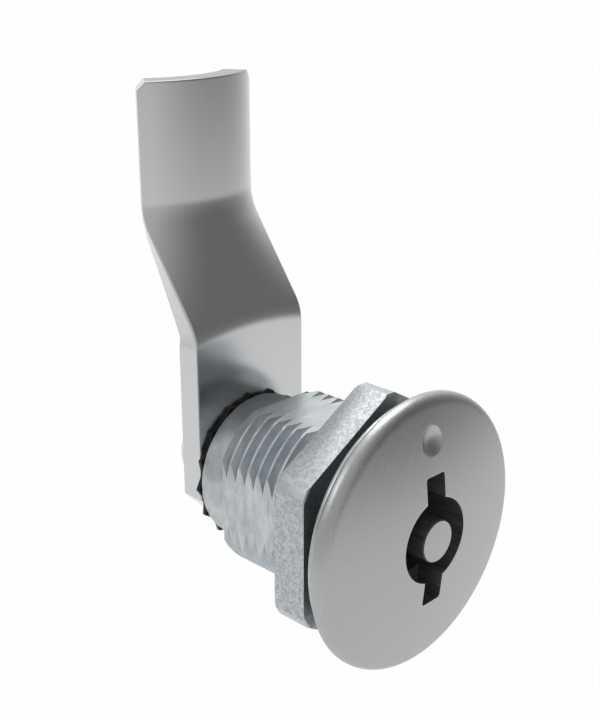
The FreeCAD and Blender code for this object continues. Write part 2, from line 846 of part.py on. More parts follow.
def make_cam():
    """Flat base with a square hole, a slanted part and a tip pressed to an arc."""
    half, top = S["cam_width"] / 2, S["cam_height"]
    flat, thickness = S["cam_flat_height"], S["cam_thickness"]
    base = new_body("cam_base")
    plate = new_sketch(base, "base_outline", "XZ_Plane", cam_front_at)
    side_end, bottom = -S["cam_side_end"], -S["cam_bottom"]
    foot = half - (side_end - bottom)
    right_side = [(foot, bottom), (half, side_end), (half, flat)]
    left_side = [(-half, flat), (-half, side_end), (-foot, bottom)]
    add_outline(plate, right_side + left_side)
    padded(base, "base_plate", plate, thickness)
    hole = new_sketch(base, "cam_hole", "XZ_Plane", cam_front_at)
    add_outline(hole, square_corners(square_hole))
    pocketed(base, "cam_square", hole, thickness)

    arm = doc.addObject("Part::Feature", "cam_arm")
    front_points, back_points = cam_grids()
    front, back = Part.BSplineSurface(), Part.BSplineSurface()
    front.interpolate(front_points)
    back.interpolate(back_points)
    first_u, last_u, first_v, last_v = front.bounds()
    faces = [front.toShape(), back.toShape()]
    for at in (first_u, last_u):
        faces.append(Part.makeRuledSurface(front.uIso(at).toShape(), back.uIso(at).toShape()))
    for at in (first_v, last_v):
        faces.append(Part.makeRuledSurface(front.vIso(at).toShape(), back.vIso(at).toShape()))
    arm.Shape = closed_solid(faces)

    whole = doc.addObject("Part::Fuse", "cam_whole")
    whole.Base = base
    whole.Tool = arm

    trim = new_body("cam_trim")
    outline = new_sketch(trim, "trim_outline", "XZ_Plane", cam_front_at - S["cut_margin"])
    margin, corner, drop = S["cut_margin"], S["cam_corner"], S["cam_corner_drop"]
    wide, below = half + margin, -(half + margin)
    shoulder = top - drop - margin * drop / corner
    peak = half - corner - margin * corner / drop
    add_outline(
        outline,
        [
            (-wide, below),
            (wide, below),
            (wide, shoulder),
            (peak, top + margin),
            (-peak, top + margin),
            (-wide, shoulder),
        ],
    )
    depth = thickness + S["cam_offset"] + half + margin * 2
    padded(trim, "trim_block", outline, depth)
    cam = doc.addObject("Part::Common", "cam")
    cam.Label = "cam"
    cam.Base = whole
    cam.Tool = trim
    return cam


parts = [
    make_housing(),
    make_mounting_nut(),
    make_cord_ring(
        "panel_seal",
        S["thread_radius"] + S["running_gap"] + S["panel_cord"] / 2,
        S["panel_cord"],
        S["panel_cord_proud"] - S["panel_cord"] / 2,
    ),
    make_cord_ring(
        "head_seal",
        S["head_seat_radius"],
        S["head_cord"],
        flange_front_at + S["head_seat_depth"] - S["head_cord"] / 2,
    ),
    make_ring("glide_washer", bore_radius, S["hub_radius"], glide_front_at, S["glide_thickness"]),
    make_wave_spring(),
    make_actuator(),
    make_centre_pin(),
    make_shaft_seal("shaft_seal_front", S["front_groove_at"]),
    make_shaft_seal("shaft_seal_rear", rear_groove_at),
    make_stop_collar(),
    make_tooth_washer(),
    make_cam(),
    make_ring(
        "flat_washer",
        S["washer_hole_radius"],
        S["washer_radius"],
        cam_back_at,
        S["washer_thickness"],
    ),
    make_spring_washer(),
    make_cam_screw(),
]
doc.recompute()

for item in doc.Objects:
    if "Invalid" in item.State or "Error" in item.State:
        raise RuntimeError(f"{item.Label} did not build")
os.makedirs("parts", exist_ok=True)
for item in parts:
    if item.Shape.isNull() or not item.Shape.isValid():
        raise RuntimeError(f"{item.Label} is not a valid solid")
    item.Shape.exportStep(f"parts/{item.Label}.step")
    print(item.Label, len(item.Shape.Solids), round(item.Shape.Volume, 1))
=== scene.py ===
import math
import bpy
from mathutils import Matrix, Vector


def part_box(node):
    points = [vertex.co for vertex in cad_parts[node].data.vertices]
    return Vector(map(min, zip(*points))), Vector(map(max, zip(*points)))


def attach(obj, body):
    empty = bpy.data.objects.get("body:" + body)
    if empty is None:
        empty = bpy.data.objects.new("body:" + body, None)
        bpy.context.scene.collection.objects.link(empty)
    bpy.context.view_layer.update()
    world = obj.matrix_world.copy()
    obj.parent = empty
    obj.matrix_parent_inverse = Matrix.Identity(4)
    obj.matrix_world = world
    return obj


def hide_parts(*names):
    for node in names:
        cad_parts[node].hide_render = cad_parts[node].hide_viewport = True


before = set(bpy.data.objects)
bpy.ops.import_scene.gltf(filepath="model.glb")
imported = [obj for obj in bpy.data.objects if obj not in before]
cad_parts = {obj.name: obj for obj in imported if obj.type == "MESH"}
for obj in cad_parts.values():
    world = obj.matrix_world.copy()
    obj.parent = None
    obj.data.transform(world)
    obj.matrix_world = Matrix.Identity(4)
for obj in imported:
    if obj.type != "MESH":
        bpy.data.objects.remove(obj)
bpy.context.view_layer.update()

from types import SimpleNamespace

import bmesh
import bpy
from mathutils import Matrix, Vector

bl_info = {
    "name": "Quarter-turn cam latch",
    "version": (1, 0, 0),
    "blender": (4, 5, 0),
    "location": "View3D > Sidebar > Cam latch",
    "description": "Dresses the packed model of a quarter-turn cam latch",
    "category": "Object",
}

# The lock axis is Y: the head faces -Y, the cam stands at the back and points up.
# Sizes in the functions below are in millimetres, and MM turns them into metres.
MM = 0.001
PAST = 1  # how far a cutting shape reaches past what it cuts


def reach(cad_node):
    """Lowest and highest corner of a CAD node."""
    low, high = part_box(cad_node)
    return Vector(low) / MM, Vector(high) / MM


def length(name, description, default):
    """A size for the panel; its default is in millimetres."""
    return bpy.props.FloatProperty(
        name=name, description=description, default=default * MM, subtype="DISTANCE", unit="LENGTH"
    )


def colour(name, description, default):
    """A colour for the panel, as linear red, green and blue."""
    return bpy.props.FloatVectorProperty(
        name=name, description=description, default=default, size=3, min=0, max=1, subtype="COLOR"
    )


class CamLatchSizes(bpy.types.PropertyGroup):
    """Sizes of the finished pieces"""

    head_radius: length("Head radius", "Outer radius of the domed head", reach("actuator")[1].x)
    dome_radius: length("Dome radius", "Radius of the ball that the dome is part of", 59.8)
    rim_blend: length("Rim blend", "Rounding between the dome and the rim", 1.48)
    dimple_radius: length("Dimple radius", "Radius of the round dimple", 1.65)
    dimple_depth: length("Dimple depth", "Depth of the round dimple", 0.55)
    thread_radius: length("Thread radius", "Radius over the thread's crests", 11.0)
    thread_pitch: length("Thread pitch", "Distance from crest to crest", 1.5)
    thread_depth: length("Thread depth", "Depth from crest to root", 0.82)
    thread_crest: length("Thread crest", "Width of the crest", 0.33)
    flats_width: length("Width over flats", "Distance between opposite flats of the housing", 19.5)
    nut_width: length("Nut width", "Width across the nut's flats", 27.0)
    nut_corner: length("Nut corner", "From the axis to the cut-off corners", reach("mounting_nut")[1].z)
    cam_width: length("Cam width", "Width of the cam", 17.2)
    cam_thickness: length("Cam thickness", "Thickness of the cam's sheet", 3.2)
    cam_edge: length("Cam edge", "Width of the cam's broken edges", 0.22)


class CamLatchColours(bpy.types.PropertyGroup):
    """Colours of the finishes"""

    head: colour("Head", "Satin plated zinc of the head", (0.43, 0.44, 0.435))
    casting: colour("Casting", "Bare zinc of the housing", (0.44, 0.465, 0.475))
    thread: colour("Thread", "Cut zinc between the thread's crests", (0.44, 0.475, 0.505))
    galvanised: colour("Galvanised", "Zinc on the nut", (0.43, 0.455, 0.465))
    cam: colour("Cam", "Satin plated steel of the cam", (0.583, 0.59, 0.6))
    # painted shade: the cam's upward faces at the tip are the same steel as the rest, darkened for the
    # shade on them
    cam_top_shade: colour("Sheared edge", "Sheared top edge of the cam", (0.29, 0.295, 0.295))
    screw: colour("Screw", "Plated steel of the screw and its washers", (0.6, 0.61, 0.62))
    # The keyhole's walls and the pin's side take this near-black as painted shade of the deep keyhole; the
    # toothed washer is really blackened.
    black: colour("Black", "Blackened steel and the keyhole's walls", (0.012, 0.012, 0.014))
    rubber: colour("Rubber", "Seals", (0.02, 0.02, 0.02))
    plastic: colour("Plastic", "Glide washer", (0.75, 0.75, 0.72))
    floor: colour("Floor", "Plain floor", (0.9, 0.9, 0.9))


def sizes_of(context):
    """The sizes by name, in millimetres."""
    group = context.scene.cam_latch_sizes
    return SimpleNamespace(**{name: getattr(group, name) / MM for name in group.__annotations__})


def arc(centre, radius, start, end, count):
    """Points (radius, place) along an arc, angles in degrees from outwards towards the back."""
    angles = [math.radians(start + (end - start) * i / count) for i in range(count + 1)]
    return [(centre[0] + radius * math.cos(a), centre[1] + radius * math.sin(a)) for a in angles]


def lathe(outline, steps=160, closed=False, sector=None):
    """A shape spun about the lock axis from an outline of (radius, place).

    A sector is its low and high angle in degrees, from X towards Z.
    """
    low, high = sector or (0, 360)
    bm = bmesh.new()
    verts = [bm.verts.new((r * MM, y * MM, 0)) for r, y in outline]
    edges = [bm.edges.new(pair) for pair in zip(verts, verts[1:])]
    if closed:
        edges.append(bm.edges.new((verts[-1], verts[0])))
    bmesh.ops.rotate(bm, cent=(0, 0, 0), matrix=Matrix.Rotation(math.radians(-high), 3, "Y"), verts=verts)
    bmesh.ops.spin(
        bm,
        geom=verts + edges,
        cent=(0, 0, 0),
        axis=(0, 1, 0),
        angle=math.radians(high - low),
        steps=steps,
        use_merge=sector is None,
    )
    seam = 0.0001 * MM
    bmesh.ops.remove_doubles(bm, verts=bm.verts, dist=seam)
    if sector:
        bmesh.ops.holes_fill(bm, edges=[e for e in bm.edges if e.is_boundary])
    bmesh.ops.recalc_face_normals(bm, faces=bm.faces)
    return bm


def block(low, high):
    """A box between two corners."""
    bm = bmesh.new()
    bmesh.ops.create_cube(bm, size=1)
    low, high = Vector(low) * MM, Vector(high) * MM
    bmesh.ops.scale(bm, vec=high - low, verts=bm.verts)
    bmesh.ops.translate(bm, vec=(low + high) / 2, verts=bm.verts)
    return bm


def square_cut(front, back):
    """A block as wide as the square holes on the shaft's end."""
    half = 4.05
    return block((-half, front, -half), (half, back, half))


def plate(corners, front, back):
    """A plate from an outline of (across, height)."""
    bm = bmesh.new()
    bm.faces.new([bm.verts.new((x * MM, front * MM, z * MM)) for x, z in corners])
    pulled = bmesh.ops.extrude_face_region(bm, geom=bm.faces[:])["geom"]
    moved = [v for v in pulled if isinstance(v, bmesh.types.BMVert)]
    bmesh.ops.translate(bm, vec=(0, (back - front) * MM, 0), verts=moved)
    bmesh.ops.recalc_face_normals(bm, faces=bm.faces)
    return bm


def hexagon(half_width, front, back, turn=0):
    """A hexagonal bar whose first corner is at 'turn' degrees from up."""
    point = half_width / math.cos(math.pi / 6)
    angles = [math.radians(turn + 60 * i) for i in range(6)]
    return plate([(point * math.sin(a), point * math.cos(a)) for a in angles], front, back)


def new_piece(name, bm, *materials):
    """An object from a shape, with its materials in order."""
    mesh = bpy.data.meshes.new(name)
    bm.to_mesh(mesh)
    bm.free()
    for finish_material in materials:
        mesh.materials.append(finish_material)
    piece = bpy.data.objects.new(name, mesh)
    bpy.context.scene.collection.objects.link(piece)
    return piece


def removed(piece):
    """Delete a piece and its mesh."""
    mesh = piece.data
    bpy.data.objects.remove(piece)
    bpy.data.meshes.remove(mesh)


def applied(piece):
    """Turn the piece's modifiers into mesh."""
    bpy.context.view_layer.update()
    depsgraph = bpy.context.evaluated_depsgraph_get()
    mesh = bpy.data.meshes.new_from_object(piece.evaluated_get(depsgraph))
    old = piece.data
    piece.modifiers.clear()
    piece.data = mesh
    mesh.name = piece.name
    bpy.data.meshes.remove(old)


def carve(piece, bm, finish_material, operation="DIFFERENCE"):
    """Cut, add or keep a shape; the faces that it makes get the material."""
    tool = new_piece("tool", bm, finish_material)
    step = piece.modifiers.new("carve", "BOOLEAN")
    step.operation = operation
    step.solver = "EXACT"
    step.object = tool
    step.material_mode = "TRANSFER"
    applied(piece)
    removed(tool)


def soften(piece, width, angle=40, segments=2):
    """Break the sharp edges and shade the rest smooth."""
    step = piece.modifiers.new("edges", "BEVEL")
    step.width = width * MM
    step.segments = segments
    step.limit_method = "ANGLE"
    step.angle_limit = math.radians(angle)
    step.use_clamp_overlap = True
    applied(piece)
    smooth(piece)


def smooth(piece, angle=30):
    """Shade smooth, with a sharp line where faces meet at more than the angle."""
    mesh = piece.data
    mesh.polygons.foreach_set("use_smooth", [True] * len(mesh.polygons))
    mesh.set_sharp_from_angle(angle=math.radians(angle))
    mesh.update()


def fit(piece, body, slot, *cad_nodes):
    """Hand the piece to its body and hide the CAD nodes in whose place it stands; the slot is not used."""
    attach(piece, body)
    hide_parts(*cad_nodes)


def threaded_bar(sizes, low, high, play=0.0):
    """A round bar with a right-hand thread, between two places on the lock axis."""
    pitch, crest = sizes.thread_pitch, sizes.thread_radius + play
    root = crest - sizes.thread_depth
    half_groove = (pitch - sizes.thread_crest) / 2
    root_place = 0.88  # where a groove's floor crosses the X axis
    steps = 96
    start = root_place - half_groove - sizes.thread_crest
    start += pitch * math.floor((low - pitch - start) / pitch)
    turns = math.ceil((high - start) / pitch)
    profile = [
        (crest, start),
        (crest, start + sizes.thread_crest),
        (root, start + sizes.thread_crest + half_groove),
        (crest, start + pitch),
    ]
    bm = bmesh.new()
    verts = [bm.verts.new((r * MM, y * MM, 0)) for r, y in profile]
    edges = [bm.edges.new(pair) for pair in zip(verts, verts[1:])]
    bmesh.ops.spin(
        bm,
        geom=verts + edges,
        cent=(0, 0, 0),
        axis=(0, 1, 0),
        dvec=(0, pitch * MM / steps, 0),
        angle=math.tau * turns,
        steps=steps * turns,
    )
    seam = 0.002 * MM
    bmesh.ops.remove_doubles(bm, verts=bm.verts, dist=seam)
    for place, side in ((low, -1), (high, 1)):
        bmesh.ops.bisect_plane(
            bm,
            geom=bm.verts[:] + bm.edges[:] + bm.faces[:],
            plane_co=(0, place * MM, 0),
            plane_no=(0, side, 0),
            clear_outer=True,
        )
    middle = (low + high) / 2 * MM
    rims = [e for e in bm.edges if e.is_boundary]
    for front in (True, False):
        rim = [e for e in rims if (e.verts[0].co.y < middle) is front]
        bmesh.ops.contextual_create(bm, geom=rim)
    bmesh.ops.recalc_face_normals(bm, faces=bm.faces)
    return bm


def socket_group(name, inputs, outputs):
    """An empty node group with its sockets, its input node and its output node."""
    group = bpy.data.node_groups.new(name, "ShaderNodeTree")
    for label, kind, default in inputs:
        group.interface.new_socket(label, in_out="INPUT", socket_type=kind).default_value = default
    for label, kind in outputs:
        group.interface.new_socket(label, in_out="OUTPUT", socket_type=kind)
    return group, group.nodes.new("NodeGroupInput"), group.nodes.new("NodeGroupOutput")


def node(tree, kind, settings=None, **inputs):
    """A node with its settings; an input, by name or as i0, i1, gets a value or a link."""
    made = tree.nodes.new(kind)
    for key, value in (settings or {}).items():
        setattr(made, key, value)
    for key, value in inputs.items():
        target = made.inputs[int(key[1:])] if key[0] == "i" and key[1:].isdigit() else made.inputs[key]
        if isinstance(value, bpy.types.NodeSocket):
            tree.links.new(value, target)
        else:
            target.default_value = value
    return made


def maths(tree, operation, *values):
    """The result of a maths node."""
    links = {f"i{i}": value for i, value in enumerate(values)}
    return node(tree, "ShaderNodeMath", {"operation": operation}, **links).outputs[0]


def remap(tree, value, low, high, to_low, to_high, kind="LINEAR"):
    """A value carried from one range to another."""
    settings = {"interpolation_type": kind}
    made = node(tree, "ShaderNodeMapRange", settings, i0=value, i1=low, i2=high, i3=to_low, i4=to_high)
    return made.outputs[0]


def mixed(tree, share, first, second):
    """Between two values, by the share of the second."""
    return node(tree, "ShaderNodeMix", {"data_type": "FLOAT"}, i0=share, i2=first, i3=second).outputs[0]


def noise(tree, coords, size, detail, distortion=0.0):
    """Fractal noise whose features have this size in metres."""
    scale = maths(tree, "DIVIDE", 1.0, size)
    made = node(
        tree,
        "ShaderNodeTexNoise",
        Vector=coords,
        Scale=scale,
        Detail=detail,
        Roughness=0.6,
        Distortion=distortion,
    )
    return made.outputs["Fac"]


def grain_group():
    """Fine blasted or brushed grain: a tone, and a normal. Stretch pulls it out along an axis."""
    if "Grain" in bpy.data.node_groups:
        return bpy.data.node_groups["Grain"]
    inputs = [
        ("Size", "NodeSocketFloat", 0.0002),
        ("Depth", "NodeSocketFloat", 0.000004),
        ("Stretch", "NodeSocketVector", (1, 1, 1)),
    ]
    outputs = [("Tone", "NodeSocketFloat"), ("Normal", "NodeSocketVector")]
    group, given, result = socket_group("Grain", inputs, outputs)
    coords = node(group, "ShaderNodeTexCoord").outputs["Object"]
    stretch = given.outputs["Stretch"]
    placed = node(group, "ShaderNodeVectorMath", {"operation": "MULTIPLY"}, i0=coords, i1=stretch)
    fine = noise(group, placed.outputs[0], given.outputs["Size"], detail=2.0)
    bump = node(group, "ShaderNodeBump", Strength=1.0, Distance=given.outputs["Depth"], Height=fine)
    group.links.new(fine, result.inputs["Tone"])
    group.links.new(bump.outputs["Normal"], result.inputs["Normal"])
    return group


def zinc_group():
    """Tone of a zinc skin: soft clouds, and crystals that differ a little from each other."""
    if "Zinc skin" in bpy.data.node_groups:
        return bpy.data.node_groups["Zinc skin"]
    inputs = [
        ("Cloud Size", "NodeSocketFloat", 0.003),
        ("Crystal Size", "NodeSocketFloat", 0.0006),
        ("Crystal Share", "NodeSocketFloat", 0.5),
        ("Stretch", "NodeSocketVector", (1, 1, 1)),
    ]
    group, given, result = socket_group("Zinc skin", inputs, [("Tone", "NodeSocketFloat")])
    place = node(group, "ShaderNodeTexCoord").outputs["Object"]
    stretch = given.outputs["Stretch"]
    coords = node(group, "ShaderNodeVectorMath", {"operation": "MULTIPLY"}, i0=place, i1=stretch).outputs[0]
    cloud = noise(group, coords, given.outputs["Cloud Size"], detail=3.0, distortion=0.8)
    ragged = node(
        group,
        "ShaderNodeTexNoise",
        Vector=coords,
        Scale=maths(group, "DIVIDE", 0.7, given.outputs["Crystal Size"]),
        Detail=2.0,
    )
    shift = node(
        group,
        "ShaderNodeVectorMath",
        {"operation": "SCALE"},
        i0=ragged.outputs["Color"],
        Scale=given.outputs["Crystal Size"],
    )
    placed = node(group, "ShaderNodeVectorMath", {"operation": "ADD"}, i0=coords, i1=shift.outputs[0])
    crystal = node(
        group,
        "ShaderNodeTexVoronoi",
        {"feature": "SMOOTH_F1"},
        Vector=placed.outputs[0],
        Scale=maths(group, "DIVIDE", 1.0, given.outputs["Crystal Size"]),
        Smoothness=0.5,
    )
    grey = node(group, "ShaderNodeSeparateColor", Color=crystal.outputs["Color"]).outputs["Red"]
    group.links.new(mixed(group, given.outputs["Crystal Share"], cloud, grey), result.inputs["Tone"])
    return group


def finish(name, base, metallic, roughness, skin=None, spread=(0.95, 1.05), rough=(0.9, 1.1), grain=None):
    """A finish whose colour and roughness follow the tone of its skin or grain.

    'spread' and 'rough' are the factors on colour and roughness where the tone is low and high.
    """
    material = bpy.data.materials.new(name)
    material.use_nodes = True
    tree = material.node_tree
    shader = tree.nodes["Principled BSDF"]
    shader.inputs["Metallic"].default_value = metallic
    fine = node(tree, "ShaderNodeGroup", {"node_tree": grain_group()}, **(grain or {}))
    tone = fine.outputs["Tone"]
    if skin:
        tone = node(tree, "ShaderNodeGroup", {"node_tree": zinc_group()}, **skin).outputs["Tone"]
    low_tone, high_tone = 0.3, 0.7
    shade = remap(tree, tone, low_tone, high_tone, *spread)
    tinted = node(tree, "ShaderNodeVectorMath", {"operation": "SCALE"}, i0=base, Scale=shade)
    dull = remap(tree, tone, low_tone, high_tone, roughness * rough[0], roughness * rough[1])
    tree.links.new(tinted.outputs[0], shader.inputs["Base Color"])
    tree.links.new(dull, shader.inputs["Roughness"])
    tree.links.new(fine.outputs["Normal"], shader.inputs["Normal"])
    return material


# The tone is the name of a colour above. Sizes and depths of skins and grains are in metres.
FINISHES = {
    "satin_head": {
        "tone": "head",
        "metallic": 1.0,
        "roughness": 0.36,
        "spread": (0.94, 1.06),
        "grain": {"Size": 0.0003, "Depth": 0.000007},
    },
    # painted shade: the walls of the deep keyhole and the pin's side, coloured near-black, with faint
    # streaks
    "keyhole_shade": {
        "tone": "black",
        "metallic": 0.0,
        "roughness": 0.42,
        "spread": (2.6, 6.5),
        "grain": {"Size": 0.0004, "Depth": 0.00001, "Stretch": (1, 0.12, 1)},
    },
    "cast_zinc": {
        "tone": "casting",
        "metallic": 1.0,
        "roughness": 0.34,
        "skin": {"Cloud Size": 0.0028, "Crystal Size": 0.0008, "Crystal Share": 0.1},
        "spread": (0.8, 1.2),
        "rough": (1.15, 0.85),
        "grain": {"Size": 0.0003, "Depth": 0.000004},
    },
    "flat_zinc": {
        "tone": "casting",
        "metallic": 1.0,
        "roughness": 0.36,
        "skin": {
            "Cloud Size": 0.0018,
            "Crystal Size": 0.0007,
            "Crystal Share": 0.15,
            "Stretch": (0.45, 1, 0.45),
        },
        "spread": (0.96, 1.34),
        "rough": (1.15, 0.85),
        "grain": {"Size": 0.0003, "Depth": 0.000005},
    },
    "thread_zinc": {
        "tone": "thread",
        "metallic": 1.0,
        "roughness": 0.38,
        "skin": {"Cloud Size": 0.002, "Crystal Size": 0.0005, "Crystal Share": 0.2},
        "spread": (0.88, 1.12),
        "grain": {"Size": 0.0002, "Depth": 0.000004},
    },
    "galvanised": {
        "tone": "galvanised",
        "metallic": 1.0,
        "roughness": 0.4,
        "skin": {"Cloud Size": 0.00045, "Crystal Size": 0.00023, "Crystal Share": 0.55},
        "spread": (0.86, 1.19),
        "rough": (1.12, 0.88),
        "grain": {"Size": 0.00025, "Depth": 0.000012},
    },
    "galvanised_edge": {
        "tone": "galvanised",
        "metallic": 1.0,
        "roughness": 0.36,
        "skin": {"Cloud Size": 0.0011, "Crystal Size": 0.0005, "Crystal Share": 0.2},
        "spread": (1.05, 1.25),
    },
    "satin_cam": {
        "tone": "cam",
        "metallic": 1.0,
        "roughness": 0.21,
        "spread": (0.99, 1.01),
        "grain": {"Size": 0.00018, "Depth": 0.0000006},
    },
    # painted shade on the cam's upward faces at the tip
    "cam_top_shade_steel": {
        "tone": "cam_top_shade",
        "metallic": 1.0,
        "roughness": 0.3,
        "spread": (0.94, 1.06),
        "grain": {"Size": 0.00012, "Depth": 0.000002, "Stretch": (1, 0.2, 1)},
    },
    "screw_zinc": {
        "tone": "screw",
        "metallic": 1.0,
        "roughness": 0.28,
        "skin": {"Cloud Size": 0.002, "Crystal Size": 0.0005, "Crystal Share": 0.2},
        "spread": (0.9, 1.1),
    },
    "black_steel": {"tone": "black", "metallic": 0.5, "roughness": 0.3, "spread": (0.6, 1.6)},
    "rubber": {"tone": "rubber", "metallic": 0.0, "roughness": 0.6, "spread": (0.8, 1.3)},
    "glide_plastic": {"tone": "plastic", "metallic": 0.0, "roughness": 0.5},
}


def material(name):
    """A finish by name, made when first asked for."""
    if name in bpy.data.materials:
        return bpy.data.materials[name]
    recipe = dict(FINISHES[name])
    base = getattr(bpy.context.scene.cam_latch_colours, recipe.pop("tone"))
    return finish(name, base, **recipe)


class CAMLATCH_OT_head(bpy.types.Operator):
    """Domed head with its keyhole and dimple, and the shaft behind it"""

    bl_idname = "cam_latch.head"
    bl_label = "Head and shaft"

    def execute(self, context):
        sizes = sizes_of(context)
        # the keyhole's walls get the near-black as painted shade
        satin, black = material("satin_head"), material("keyhole_shade")
        low, high = reach("actuator")
        head = new_piece("head", lathe(self.outline(sizes, low.y, high.y), steps=240), satin, black)
        well_radius, well_floor, pin_hole, pin_end = 4.94, low.y + 7.2, 2.0, low.y + 10.2
        before = low.y - 2 * PAST
        well = [(0, before), (well_radius, before), (well_radius, well_floor)]
        well += [(pin_hole, well_floor), (pin_hole, pin_end), (0, pin_end)]
        carve(head, lathe(well, steps=120), black)
        carve(head, self.bit_slots(low.y), black)
        carve(head, self.dimple(sizes, low.y), satin)
        # four cuts leave the square that the collar, the washer and the cam sit on
        half, beyond = 4.0, 6.0
        for turn in range(4):
            side = block((half, reach("stop_collar")[0].y, -beyond), (beyond, high.y + PAST, beyond))
            quarter = Matrix.Rotation(math.pi / 2 * turn, 3, "Y")
            bmesh.ops.rotate(side, cent=(0, 0, 0), matrix=quarter, verts=side.verts)
            carve(head, side, satin)
        soften(head, width=0.1, angle=30)
        fit(head, "rotor", "head_zinc", "actuator")
        return {"FINISHED"}

    @staticmethod
    def outline(sizes, front, end):
        """Half the section of the turned casting."""
        ball, radius, blend = sizes.dome_radius, sizes.head_radius, sizes.rim_blend
        wall, rim_back, rim_edge, recess = 2.72, -1.09, 0.3, 14.15
        hub, hub_back, shaft, shaft_end, shank = 9.0, -0.4, 7.0, 16.0, 5.6
        groove_depth, groove_width, hole, hole_depth = 1.1, 1.6, 3.02, 11.0
        # the blend touches the dome from inside and the rim's cylinder
        across = radius - blend
        centre = (across, front + ball - math.sqrt((ball - blend) ** 2 - across**2))
        lean = math.degrees(math.atan2(centre[1] - (front + ball), across))
        edge, steps = math.asin(across / (ball - blend)), 40
        angles = [edge * i / steps for i in range(steps)]
        outline = [(ball * math.sin(a), front + ball - ball * math.cos(a)) for a in angles]
        outline += arc(centre, blend, lean, 0, count=14)
        outline += arc((radius - rim_edge, rim_back - rim_edge), rim_edge, 0, 90, count=5)
        outline += [(recess, rim_back), (recess, front + wall), (hub, front + wall), (hub, hub_back)]
        outline += [(shaft, hub_back)]
        floor = shaft - groove_depth
        for groove in (6.6, 11.4):
            outline += [(shaft, groove), (floor, groove)]
            outline += [(floor, groove + groove_width), (shaft, groove + groove_width)]
        outline += [(shaft, shaft_end), (shank, shaft_end), (shank, end), (hole, end)]
        outline += [(hole, end - hole_depth), (0, end - hole_depth - hole / 2)]
        return outline

    @staticmethod
    def bit_slots(front):
        """The keyhole's two slots, above and below the round well."""
        half, length_up, depth, corner = 1.5, 7.7, 3.6, 0.35
        bits = block((-half, front - 2 * PAST, -length_up), (half, front + depth, length_up))
        long_edges = [e for e in bits.edges if abs(e.verts[0].co.y - e.verts[1].co.y) > depth * MM]
        bmesh.ops.bevel(
            bits,
            geom=long_edges,
            offset=corner * MM,
            affect="EDGES",
            segments=4,
            profile=0.5,
            material=-1,
        )
        return bits

    @staticmethod
    def dimple(sizes, front):
        """A ball that presses the position mark into the dome."""
        radius, depth, height = sizes.dimple_radius, sizes.dimple_depth, 11.9
        ball = (radius**2 + depth**2) / (2 * depth)
        drop = sizes.dome_radius - math.sqrt(sizes.dome_radius**2 - height**2)
        bm = bmesh.new()
        bmesh.ops.create_uvsphere(bm, u_segments=96, v_segments=96, radius=ball * MM)
        bmesh.ops.rotate(bm, cent=(0, 0, 0), matrix=Matrix.Rotation(math.pi / 2, 3, "X"), verts=bm.verts)
        place = Vector((0, front + drop - ball + depth, height))
        bmesh.ops.translate(bm, vec=place * MM, verts=bm.verts)
        return bm


class CAMLATCH_OT_pin(bpy.types.Operator):
    """Round pin in the middle of the keyhole"""

    bl_idname = "cam_latch.pin"
    bl_label = "Centre pin"

    def execute(self, context):
        ball = sizes_of(context).dome_radius
        low, high = reach("centre_pin")
        radius, edge, root, floor = high.x, 0.1, 2.0, low.y + 7.2
        rings = (0, 0.8, 1.6, radius - edge)
        outline = [(r, low.y + ball - math.sqrt(ball**2 - r**2)) for r in rings]
        outline += [(radius, low.y + 2 * edge), (radius, floor), (root, floor), (root, high.y), (0, high.y)]
        pin = new_piece("pin", lathe(outline, steps=96), material("satin_head"), material("keyhole_shade"))
        # the pin's side, deep in the keyhole, gets the near-black as painted shade
        for polygon in pin.data.polygons:
            if polygon.center.y > (low.y + edge) * MM:
                polygon.material_index = 1
        smooth(pin)
        fit(pin, "rotor", "head_zinc", "centre_pin")
        return {"FINISHED"}


